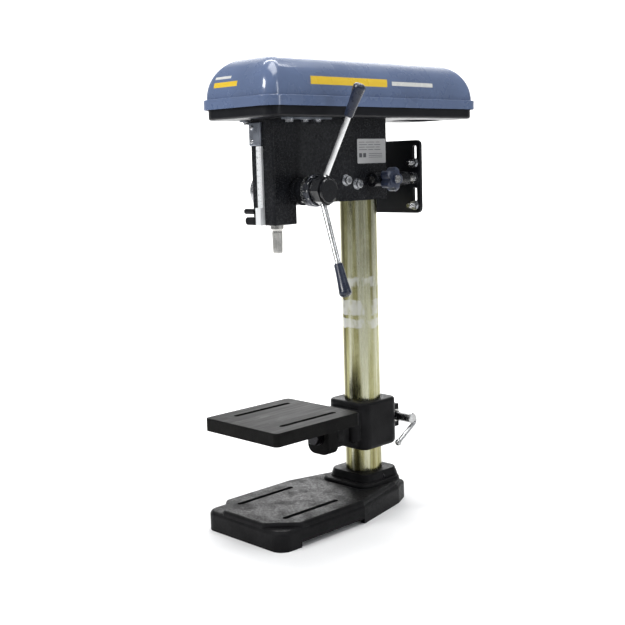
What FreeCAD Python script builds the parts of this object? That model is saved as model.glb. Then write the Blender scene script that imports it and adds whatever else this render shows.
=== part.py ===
import FreeCAD, Part
import math
import os

V = FreeCAD.Vector
os.makedirs("parts", exist_ok=True)

# Bench drill press. Millimetres. +X is the operator's right, -Y the operator's side, +Z up.
# The origin is on the column's axis, at bench level.

# ---- driving dimensions -------------------------------------------------------------------
COLUMN_R = 32.5
COLUMN_WALL = 4.0
COLUMN_FOOT_Z = 12.0
COLUMN_TOP_Z = 650.0
RUN = 0.06                  # radial running clearance of a shaft or sleeve
GAP = 0.3                   # gap between faces that pass each other

SPINDLE_Y = -195.0          # spindle axis, in front of the column
PINION_Z = 565.0            # feed shaft height
HEAD_BOTTOM_Z = 544.0
HEAD_TOP_Z = 681.0
HOUSING_BOTTOM_Z = 511.0
HEAD_FRONT_Y = -223.5
HEAD_NARROW = 26.5          # half width at the quill
HEAD_WIDE = 47.5            # half width at the column
HEAD_WALL = 9.0
HEAD_SCREWS = ((-76.0, 579.0), (-52.0, 572.0))      # (y, z) of the clamp screws
HEAD_SCREW_R = 4.0
HEAD_SCREW_HEAD_R = 6.8
KEEPER_SCREWS = ((-17.0, 668.0), (-17.0, 646.0))    # (x, z)
TRAY_BOLTS = ((-16.0, -110.0), (16.0, -110.0), (-38.0, 20.0), (38.0, 20.0))     # (x, y)

BASE_HALF = 95.0
BASE_FRONT_Y = -296.0
BASE_WAIST_Y = -103.0
BASE_REAR_Y = 55.0
BASE_CORNER_R = 22.0        # upright corners at the front
BASE_PAD_HALF = 57.0        # raised pad around the socket
BASE_TOP_Z = 40.0
FOOT_TOP_Z = 33.0
FOOT_X = 50.0               # the raised deck's front corners are cut off from here
FOOT_Y = -250.0             # to here
SIDE_GAP_Z = 9.0            # the sides stand this far off the bench, between the feet
SOCKET_HALF = 46.0
SOCKET_TOP_Z = 60.0
SLOT_X = 56.0
SLOT_FRONT_Y = -255.0
SLOT_REAR_Y = -128.0
SLOT_WIDTH = 10.0
SET_SCREW_R = 4.0
SET_SCREW_Z = 50.0

TABLE_HALF = 88.5
TABLE_FRONT_Y = -293.0
TABLE_REAR_Y = -101.5
TABLE_TOP_Z = 193.0
TABLE_EDGE = 22.0
TILT_Z = 139.0
ARM_FACE_Y = -92.0
LUG_FRONT_Y = -116.0
LUG_HALF = 26.0
BRACKET_BOTTOM_Z = 103.0
BRACKET_TOP_Z = 189.0
CLAMP_Y = 62.0              # clamp screw, behind the column
CLAMP_Z = 147.0
CLAMP_R = 6.0
EAR_HALF = 24.0
HANDLE_X = 60.0
HANDLE_R = 4.2
WASHER = 3.0

QUILL_R = 20.0
QUILL_BOTTOM_Z = 510.6
QUILL_TOP_Z = 640.0
TRAVEL = 55.0
GEAR_MODULE = 1.5
PINION_TEETH = 14
RACK_PITCH_LINE = 18.0      # from the quill's axis
PINION_HALF = 9.0
SLEEVE_R = 10.0
SPLINE_ROOT_R = 5.0
SPLINE_TIP_R = 6.0
SPLINE_KEY = 3.0
BORE_FIT = 0.03             # radial ease of a bearing's bore
LOWER_BEARING = (17.5, 7.5, 511.5, 11.0)       # outer radius, bore radius, height, width
UPPER_BEARING = (16.0, 6.0, 629.0, 10.0)
SLEEVE_BEARING_R = 18.5
SLEEVE_BEARING_Z = (643.0, 668.0)
SLEEVE_BEARING_H = 9.0
PULLEY_Z0 = 690.0
PULLEY_STEP = 10.5
PULLEY_RADII = (54.0, 48.0, 42.0, 36.0, 30.0)

TRAY_HALF = 82.0
TRAY_FRONT_Y = -275.0
TRAY_REAR_Y = 234.0
TRAY_CORNER_R = 24.0
TRAY_FLOOR = 2.0
TRAY_TOP_Z = 711.5
LID_HALF = 88.0
LID_FRONT_Y = -281.0
LID_REAR_Y = 240.0
LID_RIM_Z = 697.5
LID_STEP_Z = 712.0
LID_TOP_Z = 778.0
LID_SHEET = 1.6
LID_CORNER_R = 27.0
LID_LEDGE = 5.0             # step between the rim and the foot of the dome
DOME_REACH = 57.0           # how far the sides curve in before the crown
DOME_POWER = 2.1
DOME_STEPS = 8
HINGE_X = -92.0
HINGE_Z = 704.0
HINGE_YS = (-150.0, 120.0)
KNUCKLE = 14.0
STRAP_X = 50.0
STRAP_Y = (-219.0, -118.0)
STRAP_BOLT_Y = (-207.0, -174.0, -145.0)

HUB_BOSS_X = 36.0
RING_X0 = 53.0
RING_X1 = 71.0
RING_R = 26.0
RING_SEAT_R = 20.0
HUB_X1 = 91.0
HUB_R = 24.0
ARM_X = 73.0
ARM_TILT = 24.0             # degrees outward from the hub's plane
ARM_LEAN = 7.7              # degrees from upright, at rest
ARM_REACH = 180.0
ARM_R = 4.9
ARM_START = 13.0            # inner end of an arm, from the feed shaft's axis
GRIP_LENGTH = 54.0
GRIP_BORE = 20.0
SPRING_X0 = -62.0
SPRING_X1 = -40.0
SPRING_CUP_R = 30.0

PLATE_HALF = 72.5
PLATE_Y0 = 84.0
PLATE_Y1 = 90.0
PLATE_Z0 = 516.0
PLATE_Z1 = 644.0
MOTOR_BOLT_R = 4.0
MOTOR_SLOT_X = 60.5
MOTOR_BOLT_Z = (604.0, 530.0)
MOTOR_SLOT_LIFT = 27.0      # how far a bolt can rise in its slot
ROD_X = 58.0
ROD_Z = 578.0
ROD_R = 6.0
ROD_BOSS_R = 12.0
KNOB_Y = -1.0
STUD_R = 4.0

SCALE_X0 = -9.0
SCALE_X1 = 3.0
SCALE_TOP_Z = 638.0
SCALE_FRONT_Y = HEAD_FRONT_Y - 4.0
SCALE_BACK_Y = HEAD_FRONT_Y + 4.0
SCALE_SCREW_X = (SCALE_X0 + SCALE_X1) / 2
SCALE_SCREW_Z = 525.5
THUMB_Y = HEAD_FRONT_Y - 5.2
THUMB_Z = HOUSING_BOTTOM_Z + 23.0
THUMB_R = 2.5

PINION_R = GEAR_MODULE * PINION_TEETH / 2
PINION_Y = SPINDLE_Y + RACK_PITCH_LINE + PINION_R
X_AXIS = V(1, 0, 0)
Y_AXIS = V(0, 1, 0)
Z_AXIS = V(0, 0, 1)


# ---- shape helpers ------------------------------------------------------------------------
def box(x0, x1, y0, y1, z0, z1):
    return Part.makeBox(x1 - x0, y1 - y0, z1 - z0, V(x0, y0, z0))


def rod_x(r, x0, x1, y, z):
    return Part.makeCylinder(r, x1 - x0, V(x0, y, z), X_AXIS)


def rod_y(r, y0, y1, x, z):
    return Part.makeCylinder(r, y1 - y0, V(x, y0, z), Y_AXIS)


def rod_z(r, z0, z1, x=0.0, y=0.0):
    return Part.makeCylinder(r, z1 - z0, V(x, y, z0), Z_AXIS)


def fuse(shapes):
    result = shapes[0]
    if len(shapes) > 1:
        result = result.fuse(shapes[1:])
    return result.removeSplitter()


def prism(points, z0, z1):
    corners = [V(x, y, z0) for x, y in points]
    face = Part.Face(Part.makePolygon(corners + corners[:1]))
    return face.extrude(V(0, 0, z1 - z0))


def profile_x(points, x0, x1):
    """A (y, z) outline, extruded along X."""
    corners = [V(x0, y, z) for y, z in points]
    face = Part.Face(Part.makePolygon(corners + corners[:1]))
    return face.extrude(V(x1 - x0, 0, 0))


def turned(points, centre, axis):
    """A (radius, height) outline turned about an axis through centre."""
    corners = [V(r, 0, h) for r, h in points]
    face = Part.Face(Part.makePolygon(corners + corners[:1]))
    solid = face.revolve(V(0, 0, 0), Z_AXIS, 360)
    solid.Placement = FreeCAD.Placement(centre, FreeCAD.Rotation(Z_AXIS, axis))
    return solid


def round_edges(solid, radius, wanted):
    edges = [edge for edge in solid.Edges if wanted(edge)]
    return solid.makeFillet(radius, edges)


def is_upright(edge):
    a, b = edge.Vertexes[0].Point, edge.Vertexes[-1].Point
    return abs(a.x - b.x) < 0.01 and abs(a.y - b.y) < 0.01 and abs(a.z - b.z) > 1


def at_height(z):
    def wanted(edge):
        return all(abs(vertex.Z - z) < 0.01 for vertex in edge.Vertexes)
    return wanted


def rounded_block(half, y0, y1, z0, z1, radius):
    return round_edges(box(-half, half, y0, y1, z0, z1), radius, is_upright)


def rounded_wire(half, y0, y1, z, radius):
    """A rounded rectangle across X, between two places in Y, at one height."""
    face = rounded_block(half, y0, y1, z, z + 10, radius)
    lowest = min(face.Faces, key=lambda f: f.CenterOfMass.z)
    return lowest.OuterWire


def drafted_block(low_half, high_half, z0, z1, radius):
    low = rounded_wire(low_half, -low_half, low_half, z0, radius)
    high = rounded_wire(high_half, -high_half, high_half, z1, radius)
    return Part.makeLoft([low, high], True, True)


def slot_y(x, y0, y1, width, z0, z1):
    """A slot cutter with round ends, running along Y."""
    r = width / 2
    return fuse([box(x - r, x + r, y0 + r, y1 - r, z0, z1),
                 rod_z(r, z0, z1, x, y0 + r), rod_z(r, z0, z1, x, y1 - r)])


def hexagon(across_flats, centre, axis, length):
    radius = across_flats / math.sqrt(3)
    corners = [V(radius * math.cos(math.radians(60 * i)), radius * math.sin(math.radians(60 * i)), 0)
               for i in range(6)]
    solid = Part.Face(Part.makePolygon(corners + corners[:1])).extrude(V(0, 0, length))
    chamfer = turned([(0, -1), (radius * 0.9, -1), (radius * 0.9, 0), (radius + 0.1, radius * 0.1),
                      (radius + 0.1, length - radius * 0.1), (radius * 0.9, length), (0, length)],
                     V(0, 0, 0), Z_AXIS)
    solid = solid.common(chamfer)
    solid.Placement = FreeCAD.Placement(centre, FreeCAD.Rotation(Z_AXIS, axis))
    return solid


def mirrored_x(solid):
    return solid.mirror(V(0, 0, 0), X_AXIS)


def save(name, *solids):
    solids = [solid.Solids[0] if len(solid.Solids) == 1 else solid for solid in solids]
    shape = solids[0] if len(solids) == 1 else Part.makeCompound(list(solids))
    shape.exportStep("parts/" + name + ".step")


# ---- base and column ----------------------------------------------------------------------
def base_outline(inset):
    half, waist = BASE_HALF - inset, BASE_WAIST_Y
    right = [(half, BASE_FRONT_Y + inset), (half, waist), (half - 28, 18), (half - 46, BASE_REAR_Y - inset)]
    return right + [(-x, y) for x, y in reversed(right)]


def base_casting():
    wall, deck = 9.0, 10.0
    body = prism(base_outline(0), 0, FOOT_TOP_Z)
    body = round_edges(body, BASE_CORNER_R, lambda e: is_upright(e) and e.BoundBox.YMax < BASE_FRONT_Y + 1)
    body = round_edges(body, 9, lambda e: is_upright(e) and e.BoundBox.YMax > BASE_WAIST_Y - 1)
    body = round_edges(body, 7, at_height(FOOT_TOP_Z))
    right = [(FOOT_X, BASE_FRONT_Y + 2), (BASE_HALF - 2, FOOT_Y), (BASE_HALF - 2, BASE_WAIST_Y),
             (BASE_HALF - 32, 14), (BASE_HALF - 50, BASE_REAR_Y - 8)]
    top = prism(right + [(-x, y) for x, y in reversed(right)], FOOT_TOP_Z - 8, BASE_TOP_Z)
    top = round_edges(round_edges(top, 8, is_upright), 5, at_height(BASE_TOP_Z))
    plinth_z = BASE_TOP_Z + 6
    plinth = rounded_block(BASE_PAD_HALF, -BASE_PAD_HALF - 4, SOCKET_HALF, BASE_TOP_Z - 1, plinth_z, 24)
    plinth = round_edges(plinth, 5, at_height(plinth_z))
    socket = drafted_block(SOCKET_HALF + 4, SOCKET_HALF - 1, BASE_TOP_Z, SOCKET_TOP_Z, 20)
    socket = round_edges(socket, 3, at_height(SOCKET_TOP_Z))
    root = rounded_block(SOCKET_HALF, -SOCKET_HALF, SOCKET_HALF, 0, BASE_TOP_Z + 1, 20)
    hollow = prism(base_outline(wall), -1, BASE_TOP_Z - deck)
    boss = rounded_block(SOCKET_HALF, -SOCKET_HALF, SOCKET_HALF, -2, BASE_TOP_Z, 20)
    casting = fuse([body, top, plinth]).cut(hollow.cut(boss))
    ribs = [box(-BASE_HALF + 8, BASE_HALF - 8, y - 4, y + 4, SIDE_GAP_Z, BASE_TOP_Z - deck)
            for y in (-240.0, -180.0, -120.0)]
    casting = fuse([casting, root, socket] + ribs)
    casting = casting.cut(box(-BASE_HALF - 1, BASE_HALF + 1, -251, BASE_WAIST_Y, -1, SIDE_GAP_Z))
    casting = casting.cut(rod_z(COLUMN_R, COLUMN_FOOT_Z, SOCKET_TOP_Z + 1))
    for x in (-SLOT_X, SLOT_X):
        casting = casting.cut(slot_y(x, SLOT_FRONT_Y, SLOT_REAR_Y, SLOT_WIDTH, -1, BASE_TOP_Z + 1))
    for side in (-1, 1):
        ends = sorted((side * (COLUMN_R - 2), side * (SOCKET_HALF + 6)))
        casting = casting.cut(rod_x(SET_SCREW_R, *ends, 0, SET_SCREW_Z))
    return casting.removeSplitter()


def set_screws():
    """Two socket set screws that hold the column in the base."""
    reach = SOCKET_HALF + 1.5
    screw = rod_x(SET_SCREW_R, COLUMN_R - 2, reach, 0, SET_SCREW_Z)
    screw = screw.cut(hexagon(4, V(reach - 4, 0, SET_SCREW_Z), X_AXIS, 5)).cut(rod_z(COLUMN_R, 0, 100))
    return [screw, mirrored_x(screw)]


def column():
    tube = rod_z(COLUMN_R, COLUMN_FOOT_Z, COLUMN_TOP_Z)
    return tube.cut(rod_z(COLUMN_R - COLUMN_WALL, COLUMN_FOOT_Z - 1, COLUMN_TOP_Z + 1))


# ---- table and its bracket ----------------------------------------------------------------
def bracket_casting():
    sleeve = rounded_block(SOCKET_HALF, -SOCKET_HALF, SOCKET_HALF, BRACKET_BOTTOM_Z, BRACKET_TOP_Z, 18)
    sleeve = round_edges(sleeve, 9, at_height(BRACKET_BOTTOM_Z))
    sleeve = round_edges(sleeve, 5, at_height(BRACKET_TOP_Z))
    shoulder = rounded_block(LUG_HALF + 9, -SOCKET_HALF - 14, 0, 122, BRACKET_TOP_Z - 12, 12)
    shoulder = round_edges(shoulder, 5, at_height(BRACKET_TOP_Z - 12))
    arm = box(-LUG_HALF + 4, LUG_HALF - 4, ARM_FACE_Y, -30, 116, 164)
    arm = arm.makeFillet(5, [e for e in arm.Edges if abs(e.BoundBox.YLength - (-30 - ARM_FACE_Y)) < 0.01])
    face = rod_y(27, ARM_FACE_Y, ARM_FACE_Y + 14, 0, TILT_Z)
    ears = box(-EAR_HALF, EAR_HALF, 38, CLAMP_Y + 12, 126, 168)
    ears = ears.makeFillet(5, [e for e in ears.Edges if all(v.Y > 70 for v in e.Vertexes)])
    casting = fuse([sleeve, shoulder, arm, face, ears])
    casting = casting.cut(rod_z(COLUMN_R + RUN, BRACKET_BOTTOM_Z - 1, BRACKET_TOP_Z + 1))
    casting = casting.cut(box(-2, 2, 30, CLAMP_Y + 20, BRACKET_BOTTOM_Z - 1, BRACKET_TOP_Z + 1))
    casting = casting.cut(rod_x(CLAMP_R + RUN, -EAR_HALF - 1, EAR_HALF + 1, CLAMP_Y, CLAMP_Z))
    return casting.cut(rod_y(8, ARM_FACE_Y - 1, -60, 0, TILT_Z))


def table_casting():
    under = TABLE_TOP_Z - TABLE_EDGE
    deck, wall = 10.0, 8.0
    body = rounded_block(TABLE_HALF, TABLE_FRONT_Y, TABLE_REAR_Y, under, TABLE_TOP_Z, 8)
    body = round_edges(body, 2, at_height(TABLE_TOP_Z))
    hollow = box(-TABLE_HALF + wall, TABLE_HALF - wall, TABLE_FRONT_Y + wall, TABLE_REAR_Y - wall,
                 under - 1, TABLE_TOP_Z - deck)
    body = body.cut(hollow)
    ribs = [box(-TABLE_HALF + 2, TABLE_HALF - 2, y - 4, y + 4, under + 2, TABLE_TOP_Z - deck)
            for y in (-240.0, -170.0)]
    ribs += [box(-4, 4, TABLE_FRONT_Y + 2, LUG_FRONT_Y, under + 2, TABLE_TOP_Z - deck)]
    lug = box(-LUG_HALF, LUG_HALF, LUG_FRONT_Y, ARM_FACE_Y - GAP, TILT_Z - 32, TABLE_TOP_Z - deck)
    lug = round_edges(lug, 16, lambda e: e.BoundBox.YLength > 20 and e.BoundBox.ZMax < TILT_Z)
    lug = round_edges(lug, 2, lambda e: e.BoundBox.YMax < LUG_FRONT_Y + 0.01 and e.BoundBox.ZMin < TILT_Z)
    casting = fuse([body, lug] + ribs)
    casting = casting.cut(rod_y(8 + RUN, LUG_FRONT_Y - 20, ARM_FACE_Y + 1, 0, TILT_Z))
    for x in (-SLOT_X, SLOT_X):
        casting = casting.cut(slot_y(x, SLOT_FRONT_Y, SLOT_REAR_Y, SLOT_WIDTH, under - 1, TABLE_TOP_Z + 1))
    return casting.removeSplitter()


def tilt_bolt():
    head_y = LUG_FRONT_Y - GAP - WASHER
    shank = rod_y(8, head_y, -60, 0, TILT_Z)
    head = hexagon(24, V(0, head_y, TILT_Z), V(0, -1, 0), 10)
    return fuse([shank, head])


def tilt_washer():
    washer = rod_y(15, LUG_FRONT_Y - GAP - WASHER, LUG_FRONT_Y - GAP, 0, TILT_Z)
    return washer.cut(rod_y(8, LUG_FRONT_Y - 10, LUG_FRONT_Y, 0, TILT_Z))


def clamp_handle():
    """Cranked lever that tightens the bracket on the column."""
    hub = rod_x(9, EAR_HALF + 1.5, HANDLE_X + 5, CLAMP_Y, CLAMP_Z)
    hub = hub.makeChamfer(1.5, [e for e in hub.Edges if len(e.Vertexes) == 1])
    start = V(HANDLE_X - 1, CLAMP_Y + 6, CLAMP_Z + 4)
    bend = V(HANDLE_X - 1, CLAMP_Y + 12, CLAMP_Z - 3)
    middle = V(HANDLE_X - 1, CLAMP_Y + 6, CLAMP_Z - 14)
    end = V(HANDLE_X - 1, CLAMP_Y - 31, CLAMP_Z - 37)
    direction = (end - middle).normalize()
    curve = Part.Arc(start, bend, middle).toShape()
    tangent = curve.Curve.tangent(curve.FirstParameter)[0]
    circle = Part.Wire(Part.Circle(start, tangent, HANDLE_R).toShape())
    crank = Part.Wire([curve]).makePipeShell([circle], True, True)
    shaft = Part.makeCylinder(HANDLE_R, (end - middle).Length, middle, direction)
    tip = Part.makeSphere(6, end + direction * 3)
    return fuse([hub, crank, shaft, Part.makeSphere(HANDLE_R, middle), tip])


def clamp_screw():
    screw = rod_x(CLAMP_R, -EAR_HALF - 12, EAR_HALF + 1.5, CLAMP_Y, CLAMP_Z)
    washer = rod_x(11, EAR_HALF + GAP, EAR_HALF + 1.5, CLAMP_Y, CLAMP_Z)
    return fuse([screw, washer])


def clamp_nut():
    nut = hexagon(19, V(-EAR_HALF, CLAMP_Y, CLAMP_Z), V(-1, 0, 0), 10)
    return nut.cut(rod_x(CLAMP_R + RUN, -EAR_HALF - 20, -EAR_HALF + 1, CLAMP_Y, CLAMP_Z))


# ---- head casting -------------------------------------------------------------------------
def head_outline():
    right = [(HEAD_NARROW, HEAD_FRONT_Y), (HEAD_NARROW, -176), (HEAD_WIDE, -60), (HEAD_WIDE, 24),
             (24, 47)]
    return right + [(-x, y) for x, y in reversed(right)]


def head_casting():
    body = prism(head_outline(), HEAD_BOTTOM_Z, HEAD_TOP_Z)
    body = round_edges(body, 4, is_upright)
    housing = box(-HEAD_NARROW, HEAD_NARROW, HEAD_FRONT_Y, -173, HOUSING_BOTTOM_Z, HEAD_TOP_Z)
    housing = round_edges(housing, 3.8, is_upright)
    housing = round_edges(housing, 2, at_height(HOUSING_BOTTOM_Z))
    pinion_boss = rod_x(24, -40, HUB_BOSS_X, PINION_Y, PINION_Z)
    spring_boss = rod_x(SPRING_CUP_R, SPRING_X1, -20, PINION_Y, PINION_Z)
    rod_bosses = [rod_y(ROD_BOSS_R, -26, 62, side * ROD_X, ROD_Z) for side in (-1, 1)]
    webs = [box(*sorted((side * 40, side * ROD_X)), -22, 24, ROD_Z - 9, ROD_Z + 9) for side in (-1, 1)]
    casting = fuse([body, housing, pinion_boss, spring_boss] + rod_bosses + webs)
    front, back = side_face_x(-143) - HEAD_WALL, side_face_x(-88) - HEAD_WALL
    room = prism([(front, -143), (back, -88), (-back, -88), (-front, -143)],
                 HEAD_BOTTOM_Z - 1, HEAD_TOP_Z - HEAD_WALL)
    wide = HEAD_WIDE - HEAD_WALL
    loft = prism([(back, -89), (wide, -56), (wide, -46), (-wide, -46), (-wide, -56), (-back, -89)],
                 596, HEAD_TOP_Z - HEAD_WALL)
    casting = casting.cut(room).cut(loft)
    casting = casting.cut(rod_z(COLUMN_R, HEAD_BOTTOM_Z - 1, COLUMN_TOP_Z))
    casting = casting.cut(box(-1.5, 1.5, -87, -COLUMN_R + 2, HEAD_BOTTOM_Z - 1, COLUMN_TOP_Z))
    for cutter in head_bores():
        casting = casting.cut(cutter)
    return casting.removeSplitter()


def head_bores():
    bores = [rod_z(QUILL_R + RUN, HOUSING_BOTTOM_Z - 1, SLEEVE_BEARING_Z[0], 0, SPINDLE_Y),
             rod_z(15.5, SLEEVE_BEARING_Z[0] - 1, HEAD_TOP_Z + 1, 0, SPINDLE_Y)]
    bores += [rod_z(SLEEVE_BEARING_R, z, z + SLEEVE_BEARING_H, 0, SPINDLE_Y) for z in SLEEVE_BEARING_Z]
    bores += [rod_z(SLEEVE_BEARING_R, SLEEVE_BEARING_Z[1], HEAD_TOP_Z + 1, 0, SPINDLE_Y)]
    tip_r = PINION_R + GEAR_MODULE
    bores += [rod_x(tip_r + RUN, -PINION_HALF - GAP, HUB_BOSS_X + 1, PINION_Y, PINION_Z),
              rod_x(8 + RUN, -41, 0, PINION_Y, PINION_Z)]
    bores += [rod_y(ROD_R + RUN, -30, 70, side * ROD_X, ROD_Z) for side in (-1, 1)]
    bores += [rod_x(STUD_R + RUN, x, x + 20, KNOB_Y, ROD_Z) for x in (ROD_X, -ROD_X - 20)]
    bores += [rod_z(4, HEAD_TOP_Z - 16, HEAD_TOP_Z + 1, x, y) for x, y in TRAY_BOLTS]
    bores += [rod_x(HEAD_SCREW_R, -HEAD_WIDE - 9, HEAD_WIDE + 9, y, z) for y, z in HEAD_SCREWS]
    groove_back = HEAD_FRONT_Y + 4.3
    bores += [box(SCALE_X0 - GAP, SCALE_X1 + GAP, HEAD_FRONT_Y - 1, groove_back, HOUSING_BOTTOM_Z - 1,
                  SCALE_TOP_Z + GAP),
              box(SCALE_X0 - GAP, SCALE_X1 + GAP, HEAD_FRONT_Y - 1, SPINDLE_Y - 10, HOUSING_BOTTOM_Z - 1,
                  HOUSING_BOTTOM_Z + 14)]
    bores += [rod_y(2, HEAD_FRONT_Y - 1, HEAD_FRONT_Y + 8, x, z) for x, z in KEEPER_SCREWS]
    return bores


def keeper_plate():
    plate = box(-25, SCALE_X1, HEAD_FRONT_Y - 4, HEAD_FRONT_Y, SCALE_TOP_Z + 1, 676)
    plate = plate.makeFillet(1.5, [e for e in plate.Edges if all(v.Y < HEAD_FRONT_Y - 1 for v in e.Vertexes)])
    for x, z in KEEPER_SCREWS:
        plate = plate.cut(rod_y(2, HEAD_FRONT_Y - 5, HEAD_FRONT_Y + 1, x, z))
    return plate


def keeper_screws():
    screws = []
    for x, z in KEEPER_SCREWS:
        shank = rod_y(2, HEAD_FRONT_Y - 4, HEAD_FRONT_Y + 8, x, z)
        pan = [(0, 0), (4, 0), (3.6, 1.4), (2.4, 2.2), (0, 2.5)]
        head = turned(pan, V(x, HEAD_FRONT_Y - 4, z), V(0, -1, 0))
        notch = box(x - 5, x + 5, HEAD_FRONT_Y - 7, HEAD_FRONT_Y - 5.4, z - 0.5, z + 0.5)
        screws.append(fuse([shank, head]).cut(notch))
    return screws


def side_face_x(y):
    """Half width of the head casting at a place along its length."""
    if y >= -60:
        return HEAD_WIDE
    return HEAD_NARROW + (HEAD_WIDE - HEAD_NARROW) * (y + 176) / 116


def head_clamp_screws():
    screws = []
    for y, z in HEAD_SCREWS:
        seat = side_face_x(y)
        washer = rod_x(9.5, seat - 1, seat + 0.8, y, z)
        head = rod_x(HEAD_SCREW_HEAD_R, seat + 0.8, seat + 8.8, y, z)
        head = round_edges(head, 0.9, lambda e, x=seat + 8: len(e.Vertexes) == 1 and e.Vertexes[0].X > x)
        shank = rod_x(HEAD_SCREW_R, -seat + 4, seat + 1, y, z)
        recess = hexagon(6, V(seat + 3.8, y, z), X_AXIS, 6)
        screws.append(fuse([washer, head, shank]).cut(recess))
    return screws


def head_with_screw_seats():
    casting = head_casting()
    for y, z in HEAD_SCREWS:
        seat = side_face_x(y)
        casting = casting.cut(rod_x(9.5, seat - 1, seat + 12, y, z))
    return casting


def label_plate():
    plate = box(HEAD_WIDE, HEAD_WIDE + 0.8, -50, 21, 606, 647)
    return plate.makeFillet(2, [e for e in plate.Edges if abs(e.Length - 0.8) < 0.01])


# ---- quill, spindle and drive -------------------------------------------------------------
def rack_gap(z):
    pitch = math.pi * GEAR_MODULE
    half = pitch / 4 + 0.07
    slope = math.tan(math.radians(20))
    outer, inner = 1.6, 1.9
    line = SPINDLE_Y + RACK_PITCH_LINE
    points = [(line - inner, z - half + inner * slope), (line - inner, z + half - inner * slope),
              (line + outer, z + half + outer * slope), (line + outer, z - half - outer * slope)]
    return profile_x(points, -14, 14)


def quill_tube():
    tube = rod_z(QUILL_R, QUILL_BOTTOM_Z, QUILL_TOP_Z, 0, SPINDLE_Y)
    tube = tube.cut(rod_z(9.5, QUILL_BOTTOM_Z - 1, QUILL_TOP_Z + 1, 0, SPINDLE_Y))
    for outer, _, z, width in (LOWER_BEARING, UPPER_BEARING):
        low = QUILL_BOTTOM_Z - 1 if z < 600 else z
        high = z + width if z < 600 else QUILL_TOP_Z + 1
        tube = tube.cut(rod_z(outer, low, high, 0, SPINDLE_Y))
    rack_low, rack_high = PINION_Z - 13, PINION_Z + TRAVEL + 7
    flat = SPINDLE_Y + RACK_PITCH_LINE + 1.2
    tube = tube.cut(box(-20, 20, flat, flat + 10, rack_low, rack_high))
    pitch = math.pi * GEAR_MODULE
    for step in range(-2, int((rack_high - PINION_Z) / pitch) + 1):
        tube = tube.cut(rack_gap(PINION_Z + step * pitch))
    return tube.cut(rod_y(2.5, SPINDLE_Y - QUILL_R - 1, SPINDLE_Y - 14, SCALE_SCREW_X, SCALE_SCREW_Z))


def depth_scale_bar():
    """Flat scale bar that travels with the quill, in a groove of the casting."""
    bar = box(SCALE_X0, SCALE_X1, SCALE_FRONT_Y, SCALE_BACK_Y, HOUSING_BOTTOM_Z + 0.5, SCALE_TOP_Z)
    bar = bar.makeFillet(0.8, [e for e in bar.Edges
                               if is_upright(e) and all(v.Y < HEAD_FRONT_Y for v in e.Vertexes)])
    foot = box(SCALE_X0, SCALE_X1, SCALE_BACK_Y - 1, SPINDLE_Y - 12, HOUSING_BOTTOM_Z + 0.5,
               HOUSING_BOTTOM_Z + 13)
    foot = foot.cut(rod_z(QUILL_R, 400, 800, 0, SPINDLE_Y))
    block = box(SCALE_X0, SCALE_X1, THUMB_Y - 4.2, SCALE_FRONT_Y + 2, HOUSING_BOTTOM_Z + 0.5, THUMB_Z + 6)
    bar = fuse([bar, foot, block])
    return bar.cut(rod_x(THUMB_R + RUN, SCALE_X0 - 1, SCALE_X1 - 2, THUMB_Y, THUMB_Z))


def pointer_wing():
    """Finger plate at the foot of the scale bar, reaching to the operator's left."""
    y0, y1 = SCALE_FRONT_Y - 3, HEAD_FRONT_Y - 1.2
    z0, z1 = HOUSING_BOTTOM_Z + 1, HOUSING_BOTTOM_Z + 14
    wing = box(-31, SCALE_X0, y0, y1, z0, z1)
    nose = rod_y((z1 - z0) / 2, y0, y1, -31, (z0 + z1) / 2)
    return fuse([wing, nose])


def thumb_screw():
    shank = rod_x(THUMB_R, -20, SCALE_X1 - 2.3, THUMB_Y, THUMB_Z)
    head = rod_x(4.5, -37, -14, THUMB_Y, THUMB_Z)
    for i in range(18):
        angle = math.radians(20 * i)
        y, z = THUMB_Y + 4.6 * math.cos(angle), THUMB_Z + 4.6 * math.sin(angle)
        head = head.cut(rod_x(0.45, -35, -16, y, z))
    return fuse([shank, head])


def bearing(outer, bore, z, width):
    """Shielded ball bearing, drawn as one ring with stepped faces."""
    inner, shield, land = bore + BORE_FIT, bore + 2.2, outer - 2.2
    points = [(inner, 0), (shield, 0), (shield, 0.6), (land, 0.6), (land, 0), (outer, 0), (outer, width),
              (land, width), (land, width - 0.6), (shield, width - 0.6), (shield, width), (inner, width)]
    return turned(points, V(0, SPINDLE_Y, z), Z_AXIS)


def sleeve_bearings():
    return [bearing(SLEEVE_BEARING_R, SLEEVE_R, z, SLEEVE_BEARING_H) for z in SLEEVE_BEARING_Z]


def splined(root_r, tip_r, key, z0, z1):
    shaft = rod_z(root_r, z0, z1, 0, SPINDLE_Y)
    keys = []
    for i in range(3):
        bar = box(-tip_r, tip_r, -key / 2, key / 2, z0, z1)
        bar.rotate(V(0, 0, 0), Z_AXIS, 60 * i)
        bar.translate(V(0, SPINDLE_Y, 0))
        keys.append(bar)
    return fuse([shaft] + keys).common(rod_z(tip_r, z0, z1, 0, SPINDLE_Y))


def spindle():
    nose_top, nose_tip = 498.0, 464.0
    taper = 0.025                                  # half of 1 in 20
    top_r = 8.89
    low_r = top_r - taper * (nose_top - nose_tip - 3)
    points = [(0, nose_tip), (7.2, nose_tip), (7.9, nose_tip + 1.5), (low_r, nose_tip + 3), (top_r, nose_top),
              (8.3, nose_top + 0.5), (8.3, nose_top + 3), (10, nose_top + 6.5), (11, nose_top + 6.5),
              (11, 510.3), (7.5, 510.3), (7.5, 523.5), (7, 523.5), (7, 628.5), (6, 628.5), (6, 641), (0, 641)]
    body = turned(points, V(0, SPINDLE_Y, 0), Z_AXIS)
    return fuse([body, splined(SPLINE_ROOT_R, SPLINE_TIP_R, SPLINE_KEY, 641, 742)])


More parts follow.
